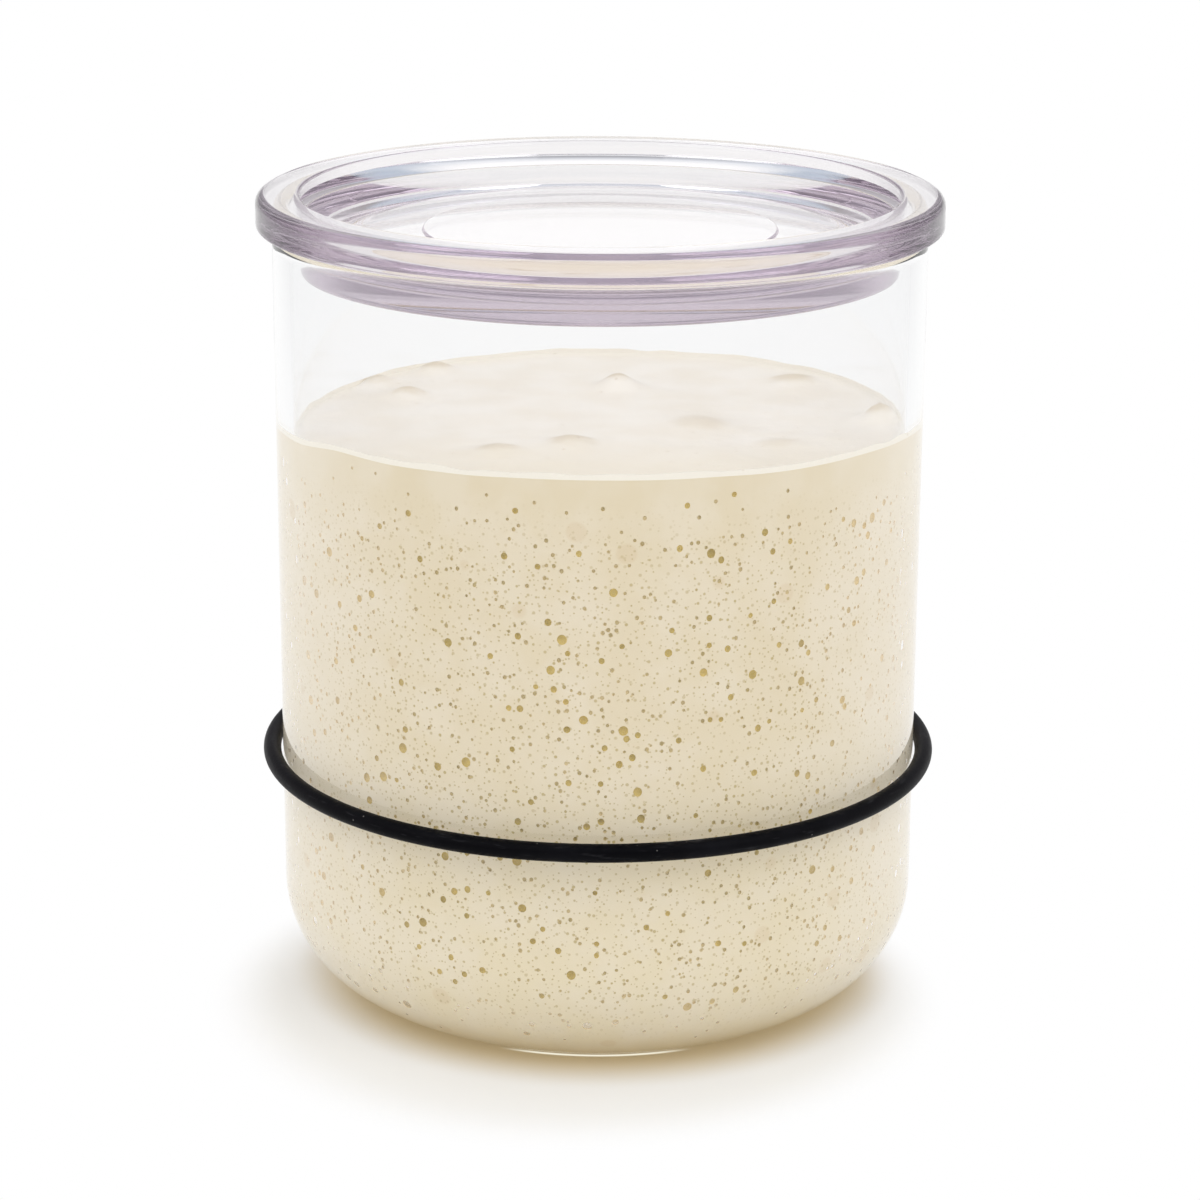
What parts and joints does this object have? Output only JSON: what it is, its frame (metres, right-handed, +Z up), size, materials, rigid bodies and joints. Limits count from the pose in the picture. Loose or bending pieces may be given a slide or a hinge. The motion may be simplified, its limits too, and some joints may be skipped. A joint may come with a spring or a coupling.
{
  "type": "sourdough starter jar",
  "caption": "Straight round glass jar with a loose clear dished lid, a rubber level-marker band and risen sourdough starter inside.",
  "frame": {"origin": "middle of the base, on the surface that the jar stands on", "axes": "+Z up along the jar's axis, +X to the right and +Y away from the viewer of the picture"},
  "size_m": [0.0954, 0.0954, 0.1139],
  "materials": {
    "glass": "clear, polished",
    "tinted_plastic": "clear plastic with a faint violet tint, polished",
    "black_rubber": "matt",
    "starter": "moist, smooth, full of small bubbles"
  },
  "bodies": {
    "jar": {"glass_jar": "glass", "sourdough_starter": "starter"},
    "lid": {"lid": "tinted_plastic"},
    "marker_band": {"marker_band": "black_rubber"}
  },
  "joints": [
    {"name": "lid_lift", "type": "slide", "parent": "jar", "child": "lid", "axis": [0, 0, 1], "range_m": [0, 0.08]},
    {"name": "band_slide", "type": "slide", "parent": "jar", "child": "marker_band", "axis": [0, 0, 1], "range_m": [-0.014, 0.068]}
  ]
}
